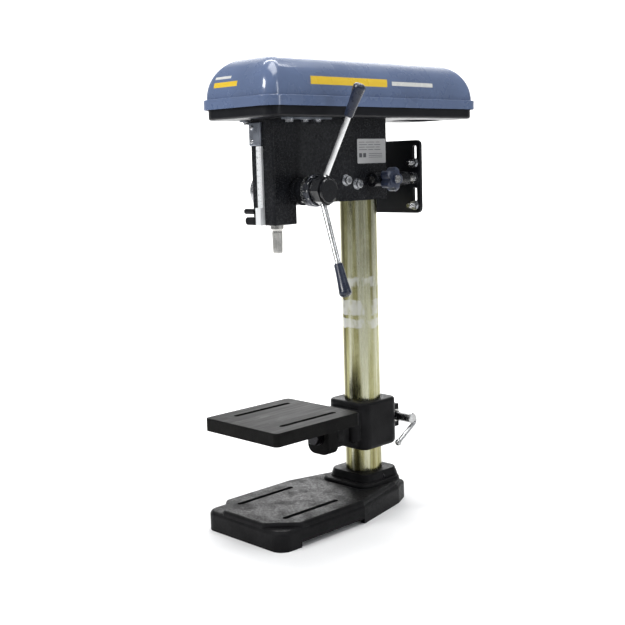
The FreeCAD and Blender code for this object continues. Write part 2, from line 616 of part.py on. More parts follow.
def spindle_circlip():
    ring = rod_z(8, 639.2, 640.2, 0, SPINDLE_Y).cut(rod_z(SPLINE_TIP_R, 639, 641, 0, SPINDLE_Y))
    return ring.cut(box(-1.5, 1.5, SPINDLE_Y, SPINDLE_Y + 12, 639, 641))


def drive_sleeve():
    low, high = 642.0, 755.0
    sleeve = rod_z(SLEEVE_R, low, high, 0, SPINDLE_Y)
    spacer = rod_z(13, SLEEVE_BEARING_Z[0] + SLEEVE_BEARING_H + 0.2, SLEEVE_BEARING_Z[1] - 0.2, 0, SPINDLE_Y)
    flange = rod_z(14, PULLEY_Z0 - 4, PULLEY_Z0, 0, SPINDLE_Y)
    bore = splined(SPLINE_ROOT_R + RUN, SPLINE_TIP_R + RUN, SPLINE_KEY + 2 * RUN, low - 1, high + 1)
    return fuse([sleeve, spacer, flange]).cut(bore)


def spindle_pulley():
    """Five-step cone pulley with V grooves."""
    points = [(SLEEVE_R, 0)]
    for i, radius in enumerate(PULLEY_RADII):
        z = i * PULLEY_STEP
        points += [(radius, z), (radius, z + 1), (radius - 6, z + 3.6), (radius - 6, z + 6.9),
                   (radius, z + PULLEY_STEP - 1)]
        points += [(radius, z + PULLEY_STEP)]
    points += [(SLEEVE_R, len(PULLEY_RADII) * PULLEY_STEP)]
    return turned(points, V(0, SPINDLE_Y, PULLEY_Z0), Z_AXIS)


def pulley_nut():
    z = PULLEY_Z0 + PULLEY_STEP * len(PULLEY_RADII)
    return hexagon(30, V(0, SPINDLE_Y, z), Z_AXIS, 8).cut(rod_z(SLEEVE_R, z - 1, z + 9, 0, SPINDLE_Y))


# ---- feed gear ----------------------------------------------------------------------------
def involute(angle):
    return math.tan(angle) - angle


def pinion_outline():
    """(y, z) points of the pinion, with one tooth pointing straight at the quill."""
    base_r = PINION_R * math.cos(math.radians(20))
    tip_r, root_r = PINION_R + GEAR_MODULE - 0.1, PINION_R - 1.25 * GEAR_MODULE - 0.1
    half_pitch_angle = (math.pi * GEAR_MODULE / 2 - 0.16) / (2 * PINION_R)
    flank = []
    steps = 6
    for i in range(steps + 1):
        radius = base_r + (tip_r - base_r) * i / steps
        spread = half_pitch_angle + involute(math.radians(20)) - involute(math.acos(base_r / radius))
        flank.append((radius, spread))
    tooth = [(root_r, flank[0][1])] + flank
    points = []
    for index in range(PINION_TEETH):
        centre = math.pi + 2 * math.pi * index / PINION_TEETH
        ring = [(radius, centre - spread) for radius, spread in tooth]
        ring += [(radius, centre + spread) for radius, spread in reversed(tooth)]
        points += [(PINION_Y + r * math.cos(a), PINION_Z + r * math.sin(a)) for r, a in ring]
    return points


def pinion_shaft():
    tip_r = PINION_R + GEAR_MODULE
    teeth = profile_x(pinion_outline(), -PINION_HALF, PINION_HALF)
    neck = rod_x(8, PINION_HALF, PINION_HALF + 5, PINION_Y, PINION_Z)
    journal = rod_x(tip_r, PINION_HALF + 4, RING_X0 - 8, PINION_Y, PINION_Z)
    nose = rod_x(9, RING_X0 - 8, HUB_X1 - 6, PINION_Y, PINION_Z)
    tail = rod_x(8, -72, -PINION_HALF, PINION_Y, PINION_Z)
    return fuse([teeth, neck, journal, nose, tail])


def arm_frame(side):
    """Start point and direction of a feed arm, for side 1 (upper) or -1 (lower)."""
    lean, tilt = math.radians(ARM_LEAN), math.radians(ARM_TILT)
    radial = V(0, math.sin(lean), math.cos(lean)) * side
    direction = radial * math.cos(tilt) + X_AXIS * math.sin(tilt)
    return V(ARM_X, PINION_Y, PINION_Z), direction


def feed_arm(side):
    start, direction = arm_frame(side)
    length = ARM_REACH - GRIP_LENGTH + GRIP_BORE - ARM_START
    return Part.makeCylinder(ARM_R, length, start + direction * ARM_START, direction)


def feed_grip(side):
    start, direction = arm_frame(side)
    base = start + direction * (ARM_REACH - GRIP_LENGTH)
    end = GRIP_LENGTH
    points = [(ARM_R, 0), (6.6, 0), (7.2, 1.2), (7.7, end * 0.3), (8.7, end * 0.6), (10, end * 0.84),
              (10.2, end - 6), (9.6, end - 3.4), (8, end - 1.4), (5, end), (0, end), (0, GRIP_BORE),
              (ARM_R, GRIP_BORE)]
    return turned(points, base, direction)


def feed_hub():
    collar = rod_x(21, HUB_BOSS_X + GAP, RING_X0 - 1, PINION_Y, PINION_Z)
    core = rod_x(RING_SEAT_R, RING_X0 - 1, RING_X1 + 0.5, PINION_Y, PINION_Z)
    corners = []
    for i in range(8):
        angle = math.radians(45 * i)
        corners.append((PINION_Y + HUB_R * math.cos(angle), PINION_Z + HUB_R * math.sin(angle)))
    faceted = profile_x(corners, RING_X1 + 0.5, HUB_X1)
    faceted = faceted.makeChamfer(1.2, [e for e in faceted.Edges
                                        if all(v.X < RING_X1 + 1 for v in e.Vertexes)])
    hub = fuse([collar, core, faceted])
    hub = hub.cut(rod_x(9, 0, HUB_X1 - 6, PINION_Y, PINION_Z))
    hub = hub.cut(rod_x(PINION_R + GEAR_MODULE, 0, RING_X0 - 8, PINION_Y, PINION_Z))
    for side in (-1, 1):
        start, direction = arm_frame(side)
        hub = hub.cut(Part.makeCylinder(ARM_R, 30, start + direction * ARM_START, direction))
    return hub


def hub_cap():
    points = [(0, 0), (20.5, 0), (20.5, 3.5), (19, 5), (17.5, 5), (17, 4.4), (0, 4.9)]
    return turned(points, V(HUB_X1, PINION_Y, PINION_Z), X_AXIS)


def depth_ring():
    """Graduated ring, free to turn on the hub for setting a depth."""
    width = RING_X1 - RING_X0
    inner = RING_SEAT_R + RUN
    points = [(inner, 0), (RING_R - 1, 0), (RING_R, 1), (RING_R, width - 6), (RING_R - 1.2, width - 5),
              (RING_R - 1.2, width - 0.5), (RING_R - 2, width), (inner, width)]
    ring = turned(points, V(RING_X0, PINION_Y, PINION_Z), X_AXIS)
    for i in range(60):
        angle = math.radians(6 * i)
        length = 9.0 if i % 5 == 0 else 5.5
        tick = box(RING_X0 + 1.2, RING_X0 + 1.2 + length, PINION_Y - 0.3, PINION_Y + 0.3,
                   PINION_Z + RING_R - 0.5, PINION_Z + RING_R + 1)
        tick.rotate(V(0, PINION_Y, PINION_Z), X_AXIS, math.degrees(angle))
        ring = ring.cut(tick)
    return ring


# ---- return spring ------------------------------------------------------------------------
def spring_cup():
    r = SPRING_CUP_R
    points = [(8.5, 0), (r, 0), (r, 21), (r - 1, 22), (r - 3, 22), (r - 3, 2.5), (8.5, 2.5)]
    cup = turned(points, V(SPRING_X1 - 22, PINION_Y, PINION_Z), X_AXIS)
    for i in range(12):
        angle = math.radians(30 * i)
        cup = cup.cut(rod_x(2, SPRING_X0 + 4, SPRING_X1 + 1, PINION_Y + (r + 0.8) * math.cos(angle),
                            PINION_Z + (r + 0.8) * math.sin(angle)))
    return cup


def return_spring():
    """Clock spring: a flat spiral strip whose outer end reaches the cup."""
    step, thick = 3.4, 1.0
    points_out, points_in = [], []
    turns, parts = 4, 24
    for i in range(turns * parts + 1):
        angle = 2 * math.pi * i / parts
        radius = 10.5 + step * i / parts
        y, z = math.cos(angle), math.sin(angle)
        points_in.append((PINION_Y + radius * y, PINION_Z + radius * z))
        points_out.append((PINION_Y + (radius + thick) * y, PINION_Z + (radius + thick) * z))
    coil = profile_x(points_out + points_in[::-1], SPRING_X0 + 6, SPRING_X1 - 3)
    tongue = box(SPRING_X0 + 6, SPRING_X1 - 3, PINION_Y + radius, PINION_Y + 27, PINION_Z - thick, PINION_Z)
    return fuse([coil, tongue])


def spring_nuts():
    nuts = []
    for x in (SPRING_X0 - 5.2, SPRING_X0 - 10.4):
        nut = hexagon(22, V(x, PINION_Y, PINION_Z), X_AXIS, 5)
        nuts.append(nut.cut(rod_x(8, x - 1, x + 6, PINION_Y, PINION_Z)))
    return nuts


# ---- belt tray and lid --------------------------------------------------------------------
def belt_tray():
    outer = rounded_block(TRAY_HALF, TRAY_FRONT_Y, TRAY_REAR_Y, HEAD_TOP_Z, TRAY_TOP_Z, TRAY_CORNER_R)
    outer = round_edges(outer, 4, at_height(HEAD_TOP_Z))
    inner = rounded_block(TRAY_HALF - TRAY_FLOOR, TRAY_FRONT_Y + TRAY_FLOOR, TRAY_REAR_Y - TRAY_FLOOR,
                          HEAD_TOP_Z + TRAY_FLOOR, TRAY_TOP_Z + 1, TRAY_CORNER_R - TRAY_FLOOR)
    inner = round_edges(inner, 2, at_height(HEAD_TOP_Z + TRAY_FLOOR))
    tray = outer.cut(inner)
    tray = tray.cut(rod_z(22, HEAD_TOP_Z - 1, HEAD_TOP_Z + 5, 0, SPINDLE_Y))
    tray = tray.cut(slot_y(0, 110, 214, 60, HEAD_TOP_Z - 1, HEAD_TOP_Z + 5))
    for x, y in TRAY_BOLTS:
        tray = tray.cut(rod_z(4, HEAD_TOP_Z - 1, HEAD_TOP_Z + 5, x, y))
    for x in (-STRAP_X, STRAP_X):
        for y in STRAP_BOLT_Y:
            tray = tray.cut(rod_z(3, HEAD_TOP_Z - 1, HEAD_TOP_Z + 5, x, y))
    return tray


def tray_bolts():
    bolts = []
    z = HEAD_TOP_Z + TRAY_FLOOR
    for x, y in TRAY_BOLTS:
        bolts.append(fuse([hexagon(13, V(x, y, z), Z_AXIS, 5.3), rod_z(4, HEAD_TOP_Z - 16, z, x, y)]))
    return bolts


def tray_straps():
    straps = []
    for x in (-STRAP_X, STRAP_X):
        strap = box(x - 9, x + 9, *STRAP_Y, HEAD_TOP_Z - 2.5, HEAD_TOP_Z)
        strap = strap.makeFillet(5, [e for e in strap.Edges if is_upright(e)])
        for y in STRAP_BOLT_Y:
            strap = strap.cut(rod_z(3, HEAD_TOP_Z - 4, HEAD_TOP_Z + 1, x, y))
        straps.append(strap)
    return straps


def strap_bolts():
    bolts = []
    for x in (-STRAP_X, STRAP_X):
        for y in STRAP_BOLT_Y:
            head = hexagon(11, V(x, y, HEAD_TOP_Z - 2.5), V(0, 0, -1), 4.5)
            washer_top = rod_z(8, HEAD_TOP_Z - 3.7, HEAD_TOP_Z - 2.5, x, y)
            nut = hexagon(10, V(x, y, HEAD_TOP_Z + TRAY_FLOOR), Z_AXIS, 5)
            shank = rod_z(3, HEAD_TOP_Z - 3, HEAD_TOP_Z + TRAY_FLOOR + 7, x, y)
            bolts.append(fuse([head, washer_top, nut, shank]))
    return bolts


def lid_dome(offset, floor):
    """Domed cover whose sides curve in to a nearly flat crown: an oval section, lofted upward."""
    inwards = LID_LEDGE + offset
    half, front, rear = LID_HALF - inwards, LID_FRONT_Y + inwards, LID_REAR_Y - inwards
    height = LID_TOP_Z - offset - LID_STEP_Z
    corner = LID_CORNER_R - LID_LEDGE
    wires = [rounded_wire(half, front, rear, floor, corner)]
    for step in range(1, DOME_STEPS + 1):
        angle = math.pi / 2 * step / DOME_STEPS
        inset = DOME_REACH * (1 - math.cos(angle) ** (2 / DOME_POWER))
        z = LID_STEP_Z + height * math.sin(angle) ** (2 / DOME_POWER)
        radius = max(3.0, corner - 0.3 * inset)
        wires.append(rounded_wire(half - inset, front + inset, rear - inset, z, radius))
    return Part.makeLoft(wires, True, False)


def lid_shell():
    rim = rounded_block(LID_HALF, LID_FRONT_Y, LID_REAR_Y, LID_RIM_Z, LID_STEP_Z + LID_SHEET, LID_CORNER_R)
    rim = round_edges(rim, 1.4, at_height(LID_STEP_Z + LID_SHEET))
    inner = rounded_block(LID_HALF - LID_SHEET, LID_FRONT_Y + LID_SHEET, LID_REAR_Y - LID_SHEET,
                          LID_RIM_Z - 1, LID_STEP_Z, LID_CORNER_R - LID_SHEET)
    dome = lid_dome(0.0, LID_STEP_Z)
    cavity = lid_dome(LID_SHEET, LID_STEP_Z - 1)
    return fuse([rim.cut(inner), dome]).cut(cavity)


def hinge_tray_leaves():
    leaves = []
    for y in HINGE_YS:
        y0, y1 = y - KNUCKLE / 2 + GAP, y + KNUCKLE / 2 - GAP
        knuckle = rod_y(3.5, y0, y1, HINGE_X, HINGE_Z)
        leaf = box(HINGE_X, -TRAY_HALF, y0, y1, LID_RIM_Z - 4.5, LID_RIM_Z - 2.5)
        web = box(HINGE_X - 1, HINGE_X + 1, y0, y1, LID_RIM_Z - 4.5, HINGE_Z)
        pad = box(-TRAY_HALF - 1.5, -TRAY_HALF, y - 20, y + 20, LID_RIM_Z - 12, LID_RIM_Z - 2.5)
        leaf = fuse([knuckle, leaf, web, pad])
        leaves.append(leaf.cut(rod_y(1.5, y - 30, y + 30, HINGE_X, HINGE_Z)))
    return leaves


def hinge_lid_leaves():
    leaves = []
    for y in HINGE_YS:
        for side in (-1, 1):
            y0, y1 = sorted((y + side * KNUCKLE / 2, y + side * KNUCKLE * 1.5))
            knuckle = rod_y(3.5, y0, y1, HINGE_X, HINGE_Z)
            leaf = box(HINGE_X + 1, -LID_HALF, y0, y1, HINGE_Z - 2, HINGE_Z + 2)
            leaf = fuse([knuckle, leaf])
            leaves.append(leaf.cut(rod_y(1.5 + RUN, y0 - 1, y1 + 1, HINGE_X, HINGE_Z)))
    return leaves


def hinge_pins():
    half = KNUCKLE * 1.5 + 1.5
    return [rod_y(1.5, y - half, y + half, HINGE_X, HINGE_Z) for y in HINGE_YS]


# ---- motor plate --------------------------------------------------------------------------
def motor_plate():
    plate = box(-PLATE_HALF, PLATE_HALF, PLATE_Y0, PLATE_Y1, PLATE_Z0, PLATE_Z1)
    plate = plate.makeFillet(9, [e for e in plate.Edges if abs(e.Length - (PLATE_Y1 - PLATE_Y0)) < 0.01])
    r = MOTOR_BOLT_R + 0.4
    for x in (-MOTOR_SLOT_X, MOTOR_SLOT_X):
        for z in MOTOR_BOLT_Z:
            plate = plate.cut(box(x - r, x + r, PLATE_Y0 - 1, PLATE_Y1 + 1, z, z + MOTOR_SLOT_LIFT))
            plate = plate.cut(rod_y(r, PLATE_Y0 - 1, PLATE_Y1 + 1, x, z))
            plate = plate.cut(rod_y(r, PLATE_Y0 - 1, PLATE_Y1 + 1, x, z + MOTOR_SLOT_LIFT))
    for side in (-1, 1):
        plate = plate.cut(rod_y(4, PLATE_Y0 - 1, PLATE_Y1 + 1, side * ROD_X, ROD_Z))
    return plate


def slide_rods():
    rods = []
    for side in (-1, 1):
        x = side * ROD_X
        rod = fuse([rod_y(ROD_R, -24, PLATE_Y0, x, ROD_Z), rod_y(4, PLATE_Y0, PLATE_Y1 + 10, x, ROD_Z)])
        rods.append(rod)
    return rods


def slide_rod_nuts():
    nuts = []
    for side in (-1, 1):
        nut = hexagon(13, V(side * ROD_X, PLATE_Y1, ROD_Z), Y_AXIS, 6.5)
        nuts.append(nut.cut(rod_y(4, PLATE_Y1 - 1, PLATE_Y1 + 8, side * ROD_X, ROD_Z)))
        jam = hexagon(19, V(side * ROD_X, PLATE_Y0, ROD_Z), V(0, -1, 0), 8)
        nuts.append(jam.cut(rod_y(ROD_R, PLATE_Y0 - 9, PLATE_Y0 + 1, side * ROD_X, ROD_Z)))
    return nuts


def motor_bolt_places():
    return [(x, z) for x in (-MOTOR_SLOT_X, MOTOR_SLOT_X) for z in MOTOR_BOLT_Z]


def motor_bolts():
    bolts = []
    for x, z in motor_bolt_places():
        head = hexagon(13, V(x, PLATE_Y1 + 1.6, z), Y_AXIS, 5.3)
        bolts.append(fuse([head, rod_y(MOTOR_BOLT_R, PLATE_Y0 - 20, PLATE_Y1 + 1.6, x, z)]))
    return bolts


def motor_washers():
    washers = []
    for x, z in motor_bolt_places():
        for y in (PLATE_Y0 - 1.6, PLATE_Y1):
            washers.append(rod_y(8.5, y, y + 1.6, x, z).cut(rod_y(MOTOR_BOLT_R, y - 1, y + 3, x, z)))
    return washers


def motor_nuts():
    nuts = []
    for x, z in motor_bolt_places():
        nut = hexagon(13, V(x, PLATE_Y0 - 1.6, z), V(0, -1, 0), 6.5)
        nuts.append(nut.cut(rod_y(MOTOR_BOLT_R, PLATE_Y0 - 10, PLATE_Y0, x, z)))
    return nuts


def star_knob():
    """Five-lobed locking knob on the right-hand slide rod boss."""
    x0, x1, mean_r, wave = 71.0, 90.0, 17.6, 3.6
    points = []
    for i in range(60):
        angle = math.radians(6 * i)
        radius = mean_r + wave * math.cos(5 * angle)
        points.append(V(x0, KNOB_Y + radius * math.cos(angle), ROD_Z + radius * math.sin(angle)))
    outline = Part.BSplineCurve()
    outline.interpolate(points, PeriodicFlag=True)
    body = Part.Face(Part.Wire(outline.toShape())).extrude(V(x1 - x0, 0, 0))
    outer, deep = mean_r + wave + 0.2, x1 - x0
    section = [(0, 0), (outer - 3, 0), (outer - 1, 1), (outer, 3), (outer, deep - 5),
               (outer - 1.5, deep - 2.5), (outer - 5, deep - 0.8), (9, deep), (0, deep)]
    crown = turned(section, V(x0, KNOB_Y, ROD_Z), X_AXIS)
    hub = rod_x(8, x1 - 1, x1 + 4, KNOB_Y, ROD_Z)
    knob = fuse([body.common(crown), hub])
    return knob.cut(rod_x(STUD_R, x0 - 1, x1 + 12, KNOB_Y, ROD_Z))


def knob_stud():
    stud = rod_x(STUD_R, ROD_X + ROD_R + 0.1, 97, KNOB_Y, ROD_Z)
    collar = rod_x(6.5, 94, 96, KNOB_Y, ROD_Z)
    return fuse([stud, collar])


# ---- the parts ----------------------------------------------------------------------------
save("base_casting", base_casting())
save("base_set_screws", *set_screws())
save("column", column())
save("bracket_casting", bracket_casting())
save("bracket_clamp_nut", clamp_nut())
save("clamp_screw", clamp_screw())
save("clamp_handle", clamp_handle())
save("table_casting", table_casting())
save("tilt_bolt", tilt_bolt())
save("tilt_washer", tilt_washer())
save("head_casting", head_with_screw_seats())
save("head_clamp_screws", *head_clamp_screws())
save("label_plate", label_plate())
save("scale_keeper_plate", keeper_plate())
save("scale_keeper_screws", *keeper_screws())
save("quill_tube", quill_tube())
save("depth_scale_bar", depth_scale_bar())
save("pointer_wing", pointer_wing())
save("scale_thumb_screw", thumb_screw())
save("quill_lower_bearing", bearing(*LOWER_BEARING))
save("quill_upper_bearing", bearing(*UPPER_BEARING))
save("spindle", spindle())
save("spindle_circlip", spindle_circlip())
save("drive_sleeve", drive_sleeve())
save("sleeve_bearings", *sleeve_bearings())
save("spindle_pulley", spindle_pulley())
save("pulley_nut", pulley_nut())
save("pinion_shaft", pinion_shaft())
save("feed_hub", feed_hub())
save("feed_hub_cap", hub_cap())
save("depth_ring", depth_ring())
save("feed_arm_upper", feed_arm(1))
save("feed_arm_lower", feed_arm(-1))
save("feed_grip_upper", feed_grip(1))
save("feed_grip_lower", feed_grip(-1))
save("spring_cup", spring_cup())
save("return_spring", return_spring())
save("spring_nuts", *spring_nuts())
save("belt_tray", belt_tray())
save("tray_bolts", *tray_bolts())
save("tray_straps", *tray_straps())
save("tray_strap_bolts", *strap_bolts())
save("lid_shell", lid_shell())
save("hinge_tray_leaves", *hinge_tray_leaves())
save("hinge_lid_leaves", *hinge_lid_leaves())
save("hinge_pins", *hinge_pins())
save("motor_plate", motor_plate())
save("slide_rods", *slide_rods())
save("slide_rod_nuts", *slide_rod_nuts())
save("motor_bolts", *motor_bolts())
save("motor_bolt_washers", *motor_washers())
save("motor_bolt_nuts", *motor_nuts())
save("lock_knob_right", star_knob())
save("lock_stud_right", knob_stud())
save("lock_knob_left", mirrored_x(star_knob()))
save("lock_stud_left", mirrored_x(knob_stud()))
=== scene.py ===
import math
from mathutils import Matrix, Vector
import bmesh
import bpy


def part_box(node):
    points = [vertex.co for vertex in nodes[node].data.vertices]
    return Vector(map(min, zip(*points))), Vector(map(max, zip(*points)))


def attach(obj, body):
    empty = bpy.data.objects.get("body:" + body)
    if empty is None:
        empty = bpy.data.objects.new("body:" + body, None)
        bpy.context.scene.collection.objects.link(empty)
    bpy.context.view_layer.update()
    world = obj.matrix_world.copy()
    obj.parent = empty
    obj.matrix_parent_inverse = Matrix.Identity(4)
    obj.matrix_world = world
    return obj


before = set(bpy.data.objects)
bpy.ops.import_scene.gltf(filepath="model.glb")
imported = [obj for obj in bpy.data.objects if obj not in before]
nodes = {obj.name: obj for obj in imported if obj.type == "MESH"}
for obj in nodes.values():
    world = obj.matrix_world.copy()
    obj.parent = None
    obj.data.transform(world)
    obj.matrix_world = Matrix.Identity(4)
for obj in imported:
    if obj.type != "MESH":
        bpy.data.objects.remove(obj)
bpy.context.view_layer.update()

# ---- driving values: metres, degrees and linear colours -----------------------------------
HEAD_BLACK = (0.0060, 0.0065, 0.0080)
BASE_BLACK = (0.0062, 0.0062, 0.0068)
DUST = (0.14, 0.135, 0.125)
WORN_CASTING = (0.12, 0.118, 0.115)
TABLE_DARK = (0.0055, 0.0055, 0.0055)
TABLE_PALE = (0.0095, 0.0095, 0.009)
TABLE_RUB = (0.10, 0.098, 0.094)
WORN_TABLE = (0.13, 0.127, 0.122)
LID_SLATE = (0.105, 0.148, 0.262)
STRIPE_YELLOW = (0.78, 0.52, 0.03)
STRIPE_WHITE = (0.66, 0.66, 0.63)
FILM_DARK = (0.24, 0.225, 0.085)
FILM_PALE = (0.49, 0.48, 0.28)
FILM_RUN = (0.14, 0.115, 0.045)
# Painted reflections on the column: a pale painted highlight streak and a dark painted reflection streak.
PAINTED_HIGHLIGHT_STREAK = (0.62, 0.62, 0.47)
PAINTED_DARK_REFLECTION = (0.08, 0.07, 0.02)
RUBBED_STEEL = (0.74, 0.75, 0.75)
SCALE_WHITE = (0.72, 0.73, 0.74)
SCALE_BLACK = (0.02, 0.02, 0.02)
RING_BLACK = (0.085, 0.09, 0.105)
RING_WHITE = (0.85, 0.85, 0.83)
BOLT_STEEL = (0.62, 0.62, 0.62)
BOLT_PITCH = 0.00125
THREAD_DEPTH = 0.00012

# A stripe is its begin and end along the face, its lower and upper edge below the lid's top, and its ink.
SIDE_STRIPES = ((0.095, 0.275, 0.047, 0.034, STRIPE_YELLOW), (0.287, 0.395, 0.044, 0.037, STRIPE_WHITE))
FRONT_STRIPES = ((-0.052, 0.004, 0.047, 0.039, STRIPE_YELLOW), (-0.052, -0.014, 0.034, 0.030, STRIPE_WHITE))
# A side stripe leans by STRIPE_SLANT of its height, about a line STRIPE_MIDDLE below the lid's top.
STRIPE_SLANT = 0.3
STRIPE_MIDDLE = 0.04

# A rubbed band on the column is its bottom, its top and the softness of its edges.
RUBBED_BANDS = ((0.341, 0.369, 0.0012), (0.319, 0.334, 0.0012), (0.392, 0.408, 0.002))

# The scale bar's marks: pitch and length of the short, middle and long ones.
SCALE_MARKS = ((0.001, 0.003), (0.005, 0.0045), (0.010, 0.006))
SCALE_MARK_WIDTH = 0.00022
SCALE_ZERO_Z = 0.5
SCALE_LOWEST_MARK_Z = 0.545
SCALE_FACE_DEPTH = 0.0056
BAR_NUMERAL_SIZE = 0.0042
BAR_NUMERAL_PITCH = 0.01
BAR_NUMERAL_ZERO_Z = 0.54
BAR_NUMERAL_INSET = (0.0032, 0.00498, 0.0001)

# The depth ring's graduations: depths of the cut under the rim, then its two ends along the axis.
RING_CUT_DEEP, RING_CUT_SHALLOW = 0.0007, 0.0001
RING_CUT_START, RING_CUT_END = 0.0011, 0.0104
RING_NUMERALS = 12
RING_NUMERAL_SIZE = 0.0036
RING_NUMERAL_SUNK = 0.00118
RING_NUMERAL_SHIFT = 0.0058

LABEL_INSET_Y, LABEL_INSET_Z = 0.004, 0.005
PRINT_SUNK = 0.0001
PRINT_THICK = 0.0002
TEXT_ROWS = 4
TEXT_ROW_PITCH = 0.0042
TEXT_HEIGHT = 0.0009
WORD_GAP = 0.003
ODD_WORDS, EVEN_WORDS = (0.020, 0.012, 0.016), (0.014, 0.022, 0.010)
SQUARES = 2
SQUARE_PITCH = 0.010
SQUARE_WIDTH = 0.0072
SQUARE_BOTTOM, SQUARE_TOP = 0.026, 0.0188
NOTE_ROWS = 3
NOTE_TOP = 0.0195
NOTE_PITCH = 0.003
NOTE_HEIGHT = 0.0008
NOTE_START, NOTE_END = 0.024, 0.058

CAMERA_AZIMUTH = 45.6
CAMERA_PITCH = 8.0
CAMERA_ROLL = -1.7
CAMERA_PLACE = (1.2740, -1.3674, 0.6075)
CAMERA_LENS = 60.84
CAMERA_SENSOR = 36.0
FLOOR_FRONT = 6.0
FLOOR_HALF = 9.0
CURVE_START = -2.4
CURVE_RADIUS = 1.6
CURVE_STEPS = 16
WALL_TOP = 5.0
WORLD_COLOUR = (0.95, 0.97, 1.0, 1.0)
WORLD_STRENGTH = 0.28


# ---- material building --------------------------------------------------------------------
class Graph:
    """One material's nodes, with its principled shader."""

    def __init__(self, name, roughness=0.5, metallic=0.0, **sockets):
        self.material = bpy.data.materials.new(name)
        self.material.use_nodes = True
        self.tree = self.material.node_tree
        self.shader = self.tree.nodes["Principled BSDF"]
        self.set("Roughness", roughness)
        self.set("Metallic", metallic)
        for socket, value in sockets.items():
            self.set(socket.replace("_", " "), value)
        coordinates = self.add("ShaderNodeTexCoord")
        self.place = coordinates.outputs["Object"]
        self.facing = coordinates.outputs["Normal"]
        self.geometry = self.add("ShaderNodeNewGeometry")

    def add(self, kind, **settings):
        node = self.tree.nodes.new(kind)
        for key, value in settings.items():
            setattr(node, key, value)
        return node

    def feed(self, socket, value):
        """Links an output to a socket, or sets the socket's own value."""
        if isinstance(value, bpy.types.NodeSocket):
            self.tree.links.new(value, socket)
        elif hasattr(value, "__len__") and len(value) == 3 and socket.type == "RGBA":
            socket.default_value = (*value, 1.0)
        else:
            socket.default_value = value

    def set(self, name, value):
        self.feed(self.shader.inputs[name], value)

    def math(self, operation, a, b=0.0, clamp=False):
        node = self.add("ShaderNodeMath", operation=operation, use_clamp=clamp)
        self.feed(node.inputs[0], a)
        self.feed(node.inputs[1], b)
        return node.outputs[0]

    def axis(self, letter, source=None):
        node = self.add("ShaderNodeSeparateXYZ")
        self.feed(node.inputs[0], source or self.place)
        return node.outputs[letter]

    def stretched(self, factors):
        node = self.add("ShaderNodeVectorMath", operation="MULTIPLY")
        self.feed(node.inputs[0], self.place)
        node.inputs[1].default_value = factors
        return node.outputs[0]

    def noise(self, size, detail=4.0, vector=None, rough=0.55):
        """Noise of about that feature size, in metres."""
        node = self.add("ShaderNodeTexNoise")
        self.feed(node.inputs["Vector"], vector or self.place)
        node.inputs["Scale"].default_value = 1.0 / size
        node.inputs["Detail"].default_value = detail
        node.inputs["Roughness"].default_value = rough
        return node.outputs["Fac"]

    def span(self, value, low, high, to_low=0.0, to_high=1.0):
        """value from low..high to to_low..to_high, smoothly and clamped."""
        node = self.add("ShaderNodeMapRange", interpolation_type="SMOOTHSTEP")
        self.feed(node.inputs["Value"], value)
        ends = {"From Min": low, "From Max": high, "To Min": to_low, "To Max": to_high}
        for socket, number in ends.items():
            node.inputs[socket].default_value = number
        return node.outputs["Result"]

    def within(self, value, low, high, soft=0.0002):
        """1 where value lies between low and high."""
        return self.math("MULTIPLY", self.span(value, low - soft, low + soft),
                         self.span(value, high - soft, high + soft, 1.0, 0.0))

    def mix(self, factor, a, b):
        node = self.add("ShaderNodeMix", data_type="RGBA")
        self.feed(node.inputs["Factor"], factor)
        self.feed(node.inputs["A"], a)
        self.feed(node.inputs["B"], b)
        return node.outputs["Result"]

    def edges(self, radius):
        """Near 1 on outside and inside edges, 0 on flats."""
        bevel = self.add("ShaderNodeBevel", samples=4)
        bevel.inputs["Radius"].default_value = radius
        dot = self.add("ShaderNodeVectorMath", operation="DOT_PRODUCT")
        self.feed(dot.inputs[0], bevel.outputs["Normal"])
        self.feed(dot.inputs[1], self.geometry.outputs["Normal"])
        return self.span(self.math("SUBTRACT", 1.0, dot.outputs["Value"]), 0.01, 0.12)

    def upward(self):
        return self.axis("Z", self.geometry.outputs["Normal"])

    def bump(self, *layers):
        """Each layer is (height, depth in metres)."""
        normal = None
        for height, depth in layers:
            node = self.add("ShaderNodeBump")
            node.inputs["Strength"].default_value = 1.0
            node.inputs["Distance"].default_value = depth
            self.feed(node.inputs["Height"], height)
            if normal is not None:
                self.feed(node.inputs["Normal"], normal)
            normal = node.outputs["Normal"]
        self.set("Normal", normal)


def cast_paint(name, colour, gloss, grain, depth, shine):
    """Enamel over a sand casting: orange-peel grain, worn edges, dust on its tops."""
    g = Graph(name, Specular_IOR_Level=shine)
    lumps = g.noise(grain, 5.0, rough=0.65)
    broad = g.noise(0.05, 3.0)
    fine = g.noise(grain * 0.25, 3.0)
    base = g.mix(g.span(broad, 0.35, 0.7), colour, [c * 1.5 + 0.002 for c in colour])
    worn = g.math("MULTIPLY", g.edges(0.0012), g.span(g.noise(0.012, 4.0), 0.5, 0.68))
    base = g.mix(g.math("MULTIPLY", worn, 0.4), base, WORN_CASTING)
    dusty = g.math("MULTIPLY", g.span(g.upward(), 0.5, 1.0), g.span(g.noise(0.03, 6.0), 0.4, 0.75))
    base = g.mix(g.math("MULTIPLY", dusty, 0.06), base, DUST)
    g.set("Base Color", base)
    rough = g.span(lumps, 0.3, 0.7, gloss - 0.09, gloss + 0.14)
    g.set("Roughness", g.math("ADD", rough, g.math("MULTIPLY", dusty, 0.2), clamp=True))
    g.bump((lumps, depth), (fine, depth * 0.25))
    return g.material


